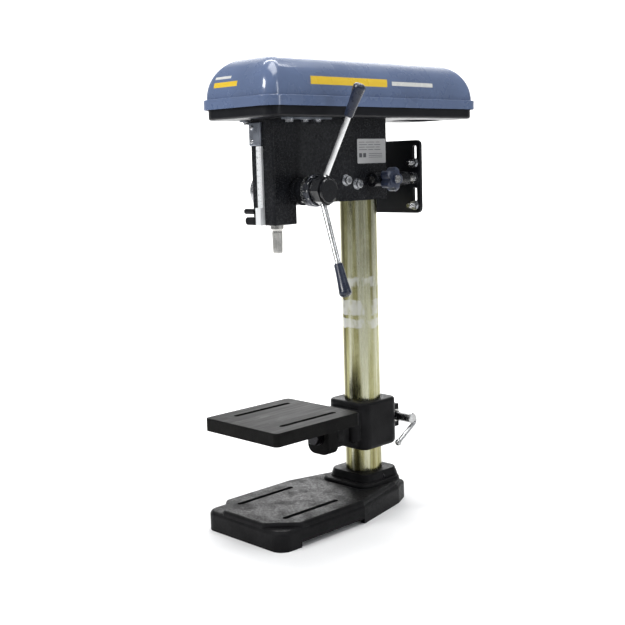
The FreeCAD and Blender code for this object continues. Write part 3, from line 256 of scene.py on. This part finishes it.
def sheet_paint(name, colour, gloss, coat, peel, shine=0.5):
    """Smooth enamel on pressed sheet: faint orange peel and mottling."""
    g = Graph(name, Coat_Weight=coat, Coat_Roughness=0.06, Specular_IOR_Level=shine)
    broad = g.noise(0.12, 2.0)
    base = g.mix(g.span(broad, 0.3, 0.75), [c * 0.9 for c in colour], [c * 1.12 for c in colour])
    g.set("Base Color", base)
    g.set("Roughness", g.span(g.noise(0.04, 4.0), 0.3, 0.7, gloss - 0.05, gloss + 0.08))
    g.bump((g.noise(0.003, 2.0), peel))
    return g


def metal(name, colour, roughness, streak=(1.0, 1.0, 1.0), size=0.004, spread=0.12, depth=0.00003):
    """Bare metal with lay marks stretched along an axis, smudges and brighter edges."""
    g = Graph(name, metallic=1.0)
    marks = g.noise(size, 4.0, g.stretched(streak), 0.7)
    smudge = g.noise(0.018, 4.0)
    base = g.mix(g.span(smudge, 0.35, 0.7), [c * 0.78 for c in colour], colour)
    polished = [min(1.0, c * 1.15) for c in colour]
    g.set("Base Color", g.mix(g.math("MULTIPLY", g.edges(0.0006), 0.4), base, polished))
    spread_out = g.span(g.math("ADD", marks, g.math("MULTIPLY", smudge, 0.6)), 0.55, 1.05,
                        max(0.05, roughness - spread), roughness + spread)
    g.set("Roughness", spread_out)
    g.bump((marks, depth))
    return g


def moulded(name, colour, roughness):
    """Moulded plastic: fine spark texture, scuffed on its edges."""
    g = Graph(name, Coat_Weight=0.15, Coat_Roughness=0.3)
    fine = g.noise(0.0008, 3.0)
    broad = g.noise(0.02, 3.0)
    base = g.mix(g.span(broad, 0.3, 0.7), [c * 0.75 for c in colour], [c * 1.25 for c in colour])
    worn = g.math("MULTIPLY", g.edges(0.001), g.span(g.noise(0.006, 3.0), 0.35, 0.65))
    g.set("Base Color", g.mix(g.math("MULTIPLY", worn, 0.35), base, [c * 2.4 + 0.03 for c in colour]))
    g.set("Roughness", g.span(broad, 0.3, 0.7, roughness - 0.08, roughness + 0.1))
    g.bump((fine, 0.00006))
    return g


# ---- materials ----------------------------------------------------------------------------
head_paint = cast_paint("head_enamel", HEAD_BLACK, gloss=0.22, grain=0.0045, depth=0.0004, shine=0.26)
base_paint = cast_paint("base_enamel", BASE_BLACK, gloss=0.42, grain=0.0035, depth=0.0003, shine=0.08)


def table_top_paint():
    """Painted table whose ground top shows faint milling passes and clamp rubs."""
    g = Graph("table_enamel", Specular_IOR_Level=0.05)
    lumps = g.noise(0.0035, 5.0, rough=0.65)
    passes = g.noise(0.006, 2.0, g.stretched((1.0, 0.04, 1.0)))
    top_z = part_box("table_casting")[1].z
    top = g.span(g.axis("Z"), top_z - 0.0016, top_z - 0.0006)
    base = g.mix(g.span(g.noise(0.05, 3.0), 0.35, 0.7), TABLE_DARK, TABLE_PALE)
    rub = g.math("MULTIPLY", top, g.span(g.noise(0.02, 6.0, g.stretched((1.0, 0.5, 1.0))), 0.56, 0.72))
    base = g.mix(g.math("MULTIPLY", rub, 0.14), base, TABLE_RUB)
    worn = g.math("MULTIPLY", g.edges(0.0012), g.span(g.noise(0.01, 4.0), 0.48, 0.66))
    g.set("Base Color", g.mix(g.math("MULTIPLY", worn, 0.4), base, WORN_TABLE))
    g.set("Roughness", g.span(passes, 0.3, 0.7, 0.50, 0.58))
    flat = g.math("SUBTRACT", 1.0, top)
    g.bump((g.math("MULTIPLY", lumps, flat), 0.0004), (g.math("MULTIPLY", passes, top), 0.00003))
    return g.material


def lid_paint():
    """Slate enamel lid, outside with plain slanted stripes on its long sides and its front."""
    g = sheet_paint("lid_enamel", LID_SLATE, gloss=0.26, coat=0.55, peel=0.000006)
    low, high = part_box("lid_shell")
    colour = g.shader.inputs["Base Color"].links[0].from_socket
    x, z = g.axis("X"), g.axis("Z")
    slanted = g.math("SUBTRACT", g.axis("Y"), g.math("MULTIPLY", z, STRIPE_SLANT))
    start = low.y - STRIPE_SLANT * (high.z - STRIPE_MIDDLE)
    outside = g.math("GREATER_THAN", g.math("MULTIPLY", x, g.axis("X", g.facing)), 0.0)
    side = g.math("MULTIPLY", outside, g.math("GREATER_THAN", g.math("ABSOLUTE", x), high.x * 0.66))
    ahead = g.math("LESS_THAN", g.axis("Y", g.facing), 0.0)
    front = g.math("MULTIPLY", ahead, g.math("LESS_THAN", g.axis("Y"), low.y + 0.035))
    striped = ((side, slanted, start, SIDE_STRIPES), (front, x, 0.0, FRONT_STRIPES))
    for face, along, origin, stripes in striped:
        for begin, end, bottom, top, ink in stripes:
            length = g.within(along, origin + begin, origin + end)
            area = g.math("MULTIPLY", length, g.within(z, high.z - bottom, high.z - top))
            colour = g.mix(g.math("MULTIPLY", face, area), colour, ink)
    g.set("Base Color", colour)
    return g.material


def column_steel():
    """Ground steel tube under a yellow oily film, with bands where the film is rubbed away, and vertical
    painted highlight and painted dark reflection streaks around it.
    """
    g = Graph("column_steel", metallic=1.0)
    lay = g.noise(0.0016, 3.0, g.stretched((1.0, 1.0, 0.03)), 0.7)
    rings = g.noise(0.0012, 2.0, g.stretched((0.05, 0.05, 1.0)), 0.7)
    film = g.noise(0.05, 6.0, g.stretched((1.0, 1.0, 0.4)), 0.62)
    runs = g.noise(0.011, 5.0, g.stretched((1.0, 1.0, 0.05)), 0.65)
    height = g.axis("Z")
    patches = g.noise(0.03, 5.0, g.stretched((1.0, 1.0, 0.35)), 0.55)
    wavy = g.math("ADD", height, g.math("MULTIPLY", g.math("SUBTRACT", g.noise(0.02), 0.5), 0.012))
    bands = 0.0
    for bottom, top, soft in RUBBED_BANDS:
        bands = g.math("ADD", bands, g.within(wavy, bottom, top, soft), clamp=True)
    rubbed = g.math("MULTIPLY", bands, g.span(patches, 0.42, 0.52))
    # Painted reflections: broad vertical bands, lightened into painted highlights and darkened into painted
    # dark reflections.
    painted_reflection_bands = g.noise(0.017, 2.0, g.stretched((1.0, 1.0, 0.02)), 0.5)
    colour = g.mix(g.span(film, 0.3, 0.72), FILM_DARK, FILM_PALE)
    colour = g.mix(g.span(runs, 0.48, 0.68, 0.0, 0.7), colour, FILM_RUN)
    colour = g.mix(g.span(painted_reflection_bands, 0.52, 0.66, 0.0, 0.85), colour, PAINTED_HIGHLIGHT_STREAK)
    colour = g.mix(g.span(painted_reflection_bands, 0.34, 0.46, 0.85, 0.0), colour, PAINTED_DARK_REFLECTION)
    colour = g.mix(g.math("MULTIPLY", rubbed, 0.6), colour, RUBBED_STEEL)
    g.set("Base Color", colour)
    rough = g.math("ADD", g.span(lay, 0.3, 0.7, 0.17, 0.28), g.span(film, 0.3, 0.75, 0.0, 0.10))
    g.set("Roughness", g.math("ADD", rough, g.math("MULTIPLY", rubbed, 0.12)))
    g.bump((lay, 0.00002), (rings, 0.00002))
    return g.material


def scale_face():
    """White enamelled scale with black printed millimetre marks."""
    g = sheet_paint("scale_enamel", SCALE_WHITE, gloss=0.34, coat=0.2, peel=0.00003)
    low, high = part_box("depth_scale_bar")
    plain = g.shader.inputs["Base Color"].links[0].from_socket
    x, z = g.axis("X"), g.axis("Z")
    front = g.math("LESS_THAN", g.axis("Y"), low.y + SCALE_FACE_DEPTH)
    marks = []
    for pitch, reach in SCALE_MARKS:
        phase = g.math("FRACT", g.math("DIVIDE", g.math("SUBTRACT", z, SCALE_ZERO_Z), pitch))
        line = g.math("LESS_THAN", phase, SCALE_MARK_WIDTH / pitch)
        marks.append(g.math("MULTIPLY", line, g.math("GREATER_THAN", x, high.x - reach)))
    lines = g.math("MAXIMUM", g.math("MAXIMUM", marks[0], marks[1]), marks[2])
    clear = g.math("GREATER_THAN", z, SCALE_LOWEST_MARK_Z)
    lines = g.math("MULTIPLY", g.math("MULTIPLY", lines, clear), front)
    g.set("Base Color", g.mix(lines, plain, SCALE_BLACK))
    return g.material


def ring_face():
    """Turned, blackened ring whose cut graduations are filled with white."""
    g = metal("ring_blackened", RING_BLACK, 0.26, streak=(1.0, 0.1, 0.1), size=0.001)
    low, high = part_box("depth_ring")
    plain = g.shader.inputs["Base Color"].links[0].from_socket
    centre_y, centre_z = (low.y + high.y) / 2, (low.z + high.z) / 2
    y, z = g.math("SUBTRACT", g.axis("Y"), centre_y), g.math("SUBTRACT", g.axis("Z"), centre_z)
    radius = g.math("SQRT", g.math("ADD", g.math("MULTIPLY", y, y), g.math("MULTIPLY", z, z)))
    rim = high.z - centre_z
    sunk = g.within(radius, rim - RING_CUT_DEEP, rim - RING_CUT_SHALLOW, 0.00005)
    along = g.within(g.axis("X"), low.x + RING_CUT_START, low.x + RING_CUT_END, 0.0001)
    g.set("Base Color", g.mix(g.math("MULTIPLY", sunk, along), plain, RING_WHITE))
    return g.material


def threaded(name, axis):
    """Plated fastener with thread rings along one axis."""
    g = metal(name, BOLT_STEEL, 0.22, size=0.002)
    turn = g.math("MULTIPLY", g.axis(axis), 2 * math.pi / BOLT_PITCH)
    g.bump((g.math("SINE", turn), THREAD_DEPTH))
    return g.material


bright = metal("ground_steel", (0.66, 0.65, 0.62), 0.27, streak=(1.0, 1.0, 0.15), size=0.003)
zinc = metal("zinc_plate", (0.66, 0.67, 0.69), 0.24, size=0.002)
chrome = metal("chrome_plate", (0.92, 0.92, 0.92), 0.22, streak=(1.0, 1.0, 0.1), size=0.006, spread=0.06,
               depth=0.00001)
dull_zinc = metal("dull_zinc", (0.36, 0.385, 0.44), 0.36, size=0.003)
lever_steel = metal("lever_steel", (0.52, 0.52, 0.52), 0.26, size=0.003)
oxide = metal("black_oxide", (0.035, 0.035, 0.038), 0.36, size=0.002)
pulley_metal = metal("turned_aluminium", (0.74, 0.74, 0.75), 0.28, streak=(0.05, 0.05, 1.0), size=0.0008,
                     spread=0.1, depth=0.000008)
black_sheet = sheet_paint("black_powder_coat", (0.0065, 0.0072, 0.0095), gloss=0.36, coat=0.0,
                          peel=0.0001, shine=0.25)
gloss_black = sheet_paint("gloss_black", (0.006, 0.0065, 0.008), gloss=0.14, coat=0.4,
                          peel=0.00003, shine=0.4)
grip = moulded("grip_plastic", (0.010, 0.015, 0.033), 0.26)
knob = moulded("knob_plastic", (0.022, 0.030, 0.058), 0.30)
spring_steel = metal("spring_steel", (0.25, 0.26, 0.30), 0.3, size=0.003)
label_metal = sheet_paint("label_plate_enamel", (0.46, 0.46, 0.46), gloss=0.38, coat=0.1,
                          peel=0.00002)
print_ink = Graph("label_ink", 0.6)
print_ink.set("Base Color", print_ink.mix(print_ink.noise(0.001), (0.05, 0.05, 0.055), (0.10, 0.10, 0.11)))

finishes = {
    head_paint: ["head_casting"],
    base_paint: ["base_casting", "bracket_casting"],
    table_top_paint(): ["table_casting"],
    lid_paint(): ["lid_shell"],
    column_steel(): ["column"],
    scale_face(): ["depth_scale_bar"],
    ring_face(): ["depth_ring"],
    threaded("bolt_thread_y", "Y"): ["motor_bolts"],
    threaded("stud_thread_x", "X"): ["lock_stud_right", "lock_stud_left"],
    bright.material: ["quill_tube", "spindle", "drive_sleeve", "pinion_shaft", "slide_rods", "clamp_screw",
                      "sleeve_bearings", "quill_lower_bearing", "quill_upper_bearing", "hinge_pins"],
    dull_zinc.material: ["scale_keeper_plate", "tray_straps"],
    lever_steel.material: ["clamp_handle"],
    zinc.material: ["scale_keeper_screws", "spring_cup", "spring_nuts", "tray_bolts",
                    "tray_strap_bolts", "slide_rod_nuts", "motor_bolt_nuts",
                    "motor_bolt_washers", "head_clamp_screws"],
    chrome.material: ["feed_arm_upper", "feed_arm_lower"],
    oxide.material: ["base_set_screws", "bracket_clamp_nut", "tilt_bolt", "tilt_washer",
                     "pointer_wing", "scale_thumb_screw", "spindle_circlip", "pulley_nut"],
    pulley_metal.material: ["spindle_pulley"],
    black_sheet.material: ["belt_tray", "hinge_tray_leaves", "hinge_lid_leaves", "motor_plate"],
    gloss_black.material: ["feed_hub", "feed_hub_cap"],
    grip.material: ["feed_grip_upper", "feed_grip_lower"],
    knob.material: ["lock_knob_right", "lock_knob_left"],
    spring_steel.material: ["return_spring"],
    label_metal.material: ["label_plate"],
}
for finish, names in finishes.items():
    for name in names:
        mesh = nodes[name].data
        mesh.materials.clear()
        mesh.materials.append(finish)
unfinished = set(nodes) - {name for names in finishes.values() for name in names}
assert not unfinished, sorted(unfinished)


# ---- small pieces that the frame doesn't hold ---------------------------------------------
def mesh_piece(name, build, material, body):
    made = bmesh.new()
    build(made)
    mesh = bpy.data.meshes.new(name)
    made.to_mesh(mesh)
    made.free()
    piece = bpy.data.objects.new(name, mesh)
    bpy.context.scene.collection.objects.link(piece)
    mesh.materials.append(material)
    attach(piece, body)


def add_box(made, low, high):
    corners = [(x, y, z) for x in (low[0], high[0]) for y in (low[1], high[1]) for z in (low[2], high[2])]
    verts = [made.verts.new(corner) for corner in corners]
    for face in ((0, 1, 3, 2), (4, 6, 7, 5), (0, 4, 5, 1), (2, 3, 7, 6), (0, 2, 6, 4), (1, 5, 7, 3)):
        made.faces.new([verts[i] for i in face])


def label_print(made):
    """Plain rows of print and two blank squares: no letters."""
    low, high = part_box("label_plate")
    back = high.x - PRINT_SUNK
    face = back + PRINT_THICK
    left, top = low.y + LABEL_INSET_Y, high.z - LABEL_INSET_Z
    for row in range(TEXT_ROWS):
        z = top - TEXT_ROW_PITCH * row
        y = left
        for length in ODD_WORDS if row % 2 else EVEN_WORDS:
            add_box(made, (back, y, z - TEXT_HEIGHT), (face, y + length, z))
            y += length + WORD_GAP
    for square in range(SQUARES):
        y = left + SQUARE_PITCH * square
        add_box(made, (back, y, top - SQUARE_BOTTOM), (face, y + SQUARE_WIDTH, top - SQUARE_TOP))
    for row in range(NOTE_ROWS):
        z = top - NOTE_TOP - NOTE_PITCH * row
        add_box(made, (back, left + NOTE_START, z - NOTE_HEIGHT), (face, left + NOTE_END, z))


mesh_piece("label_print", label_print, print_ink.material, "frame")


def numeral(text, size, place, material, body, name):
    """A flat number at a placement matrix."""
    curve = bpy.data.curves.new(name, "FONT")
    curve.body = text
    curve.size = size
    curve.align_x = "CENTER"
    curve.align_y = "CENTER"
    curve.extrude = 0.00004
    curve.materials.append(material)
    piece = bpy.data.objects.new(name, curve)
    bpy.context.scene.collection.objects.link(piece)
    piece.matrix_world = place
    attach(piece, body)


def facing(normal, up, origin):
    """A placement whose Z axis is the normal and whose Y axis is up."""
    normal, up = Vector(normal).normalized(), Vector(up).normalized()
    right = up.cross(normal)
    place = Matrix((right, up, normal)).transposed().to_4x4()
    place.translation = origin
    return place


ring_low, ring_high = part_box("depth_ring")
ring_centre = (ring_low + ring_high) / 2
ring_r = (ring_high.z - ring_low.z) / 2
white_ink = Graph("ring_ink", 0.5)
white_ink.set("Base Color", white_ink.mix(white_ink.noise(0.001), (0.7, 0.7, 0.68), (0.85, 0.85, 0.82)))
for mark in range(RING_NUMERALS):
    angle = math.radians(360 / RING_NUMERALS * mark)
    outward = Vector((0, math.sin(angle), math.cos(angle)))
    origin = ring_centre + outward * (ring_r - RING_NUMERAL_SUNK) + Vector((RING_NUMERAL_SHIFT, 0, 0))
    place = facing(outward, (1, 0, 0), origin)
    numeral(str(5 * mark), RING_NUMERAL_SIZE, place, white_ink.material, "depth_ring",
            "ring_numeral_%d" % mark)

bar_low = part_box("depth_scale_bar")[0]
inset_x, inset_y, rise = BAR_NUMERAL_INSET
for mark in range(1, 10):
    height = BAR_NUMERAL_ZERO_Z + BAR_NUMERAL_PITCH * mark + rise
    place = facing((0, -1, 0), (0, 0, 1), (bar_low.x + inset_x, bar_low.y + inset_y, height))
    numeral(str(mark), BAR_NUMERAL_SIZE, place, print_ink.material, "quill",
            "bar_numeral_%d" % mark)


# ---- studio -------------------------------------------------------------------------------
def backdrop():
    """A pale sheet: floor, then a wide curve up into a wall."""
    made = bmesh.new()
    azimuth = math.radians(CAMERA_AZIMUTH)
    toward = Vector((math.sin(azimuth), -math.cos(azimuth), 0))
    across = Vector((toward.y, -toward.x, 0))
    profile = [(FLOOR_FRONT, 0.0)]
    for step in range(CURVE_STEPS + 1):
        angle = math.radians(90 * step / CURVE_STEPS)
        profile.append((CURVE_START - CURVE_RADIUS * math.sin(angle), CURVE_RADIUS * (1 - math.cos(angle))))
    profile.append((CURVE_START - CURVE_RADIUS, WALL_TOP))
    rows = []
    for along, height in profile:
        rows.append([made.verts.new(toward * along + across * side + Vector((0, 0, height)))
                     for side in (-FLOOR_HALF, FLOOR_HALF)])
    for near, far in zip(rows, rows[1:]):
        made.faces.new((near[0], near[1], far[1], far[0]))
    mesh = bpy.data.meshes.new("backdrop")
    made.to_mesh(mesh)
    made.free()
    mesh.shade_smooth()
    sheet = bpy.data.objects.new("backdrop", mesh)
    bpy.context.scene.collection.objects.link(sheet)
    g = Graph("backdrop_paper", 0.9)
    g.set("Base Color", g.mix(g.noise(0.6, 2.0), (0.86, 0.86, 0.86), (0.90, 0.90, 0.90)))
    mesh.materials.append(g.material)


def area_light(name, place, target, size, power, colour=(1.0, 1.0, 1.0)):
    light = bpy.data.lights.new(name, "AREA")
    light.shape = "RECTANGLE"
    light.size, light.size_y = size
    light.energy = power
    light.color = colour
    lamp = bpy.data.objects.new(name, light)
    bpy.context.scene.collection.objects.link(lamp)
    lamp.location = place
    lamp.rotation_euler = (Vector(target) - Vector(place)).to_track_quat("-Z", "Y").to_euler()


def photo_camera():
    """The photograph's camera."""
    azimuth, pitch, roll = (math.radians(angle) for angle in (CAMERA_AZIMUTH, CAMERA_PITCH, CAMERA_ROLL))
    right = Vector((math.cos(azimuth), math.sin(azimuth), 0))
    level = Vector((-math.sin(azimuth), math.cos(azimuth), 0))
    forward = level * math.cos(pitch) + Vector((0, 0, -math.sin(pitch)))
    up = right.cross(forward)
    rolled_right = right * math.cos(roll) + up * math.sin(roll)
    rolled_up = -right * math.sin(roll) + up * math.cos(roll)
    data = bpy.data.cameras.new("photo_camera")
    data.sensor_width = CAMERA_SENSOR
    data.lens = CAMERA_LENS
    data.clip_end = 50.0
    camera = bpy.data.objects.new("photo_camera", data)
    bpy.context.scene.collection.objects.link(camera)
    place = Matrix((rolled_right, rolled_up, -forward)).transposed().to_4x4()
    place.translation = Vector(CAMERA_PLACE)
    camera.matrix_world = place
    bpy.context.scene.camera = camera


backdrop()
photo_camera()
area_light("key", (-0.5, -2.4, 2.0), target=(0, -0.1, 0.5), size=(0.9, 0.9), power=46.0)
area_light("side", (2.5, 0.3, 1.5), target=(0, 0, 0.45), size=(0.35, 1.6), power=13.0,
           colour=(0.94, 0.97, 1.0))
area_light("top", (0.4, 0.0, 2.7), target=(0, -0.05, 0.4), size=(1.2, 1.6), power=34.0)
area_light("rim", (-1.8, 1.6, 1.4), target=(0, 0, 0.5), size=(0.6, 1.6), power=16.0)
area_light("wall", (-0.9, 0.9, 3.2), target=(-2.9, 2.8, 1.0), size=(3.0, 1.0), power=200.0)

world = bpy.data.worlds.new("studio")
bpy.context.scene.world = world
world.use_nodes = True
world.node_tree.nodes["Background"].inputs["Color"].default_value = WORLD_COLOUR
world.node_tree.nodes["Background"].inputs["Strength"].default_value = WORLD_STRENGTH
bpy.context.scene.view_settings.view_transform = "Standard"
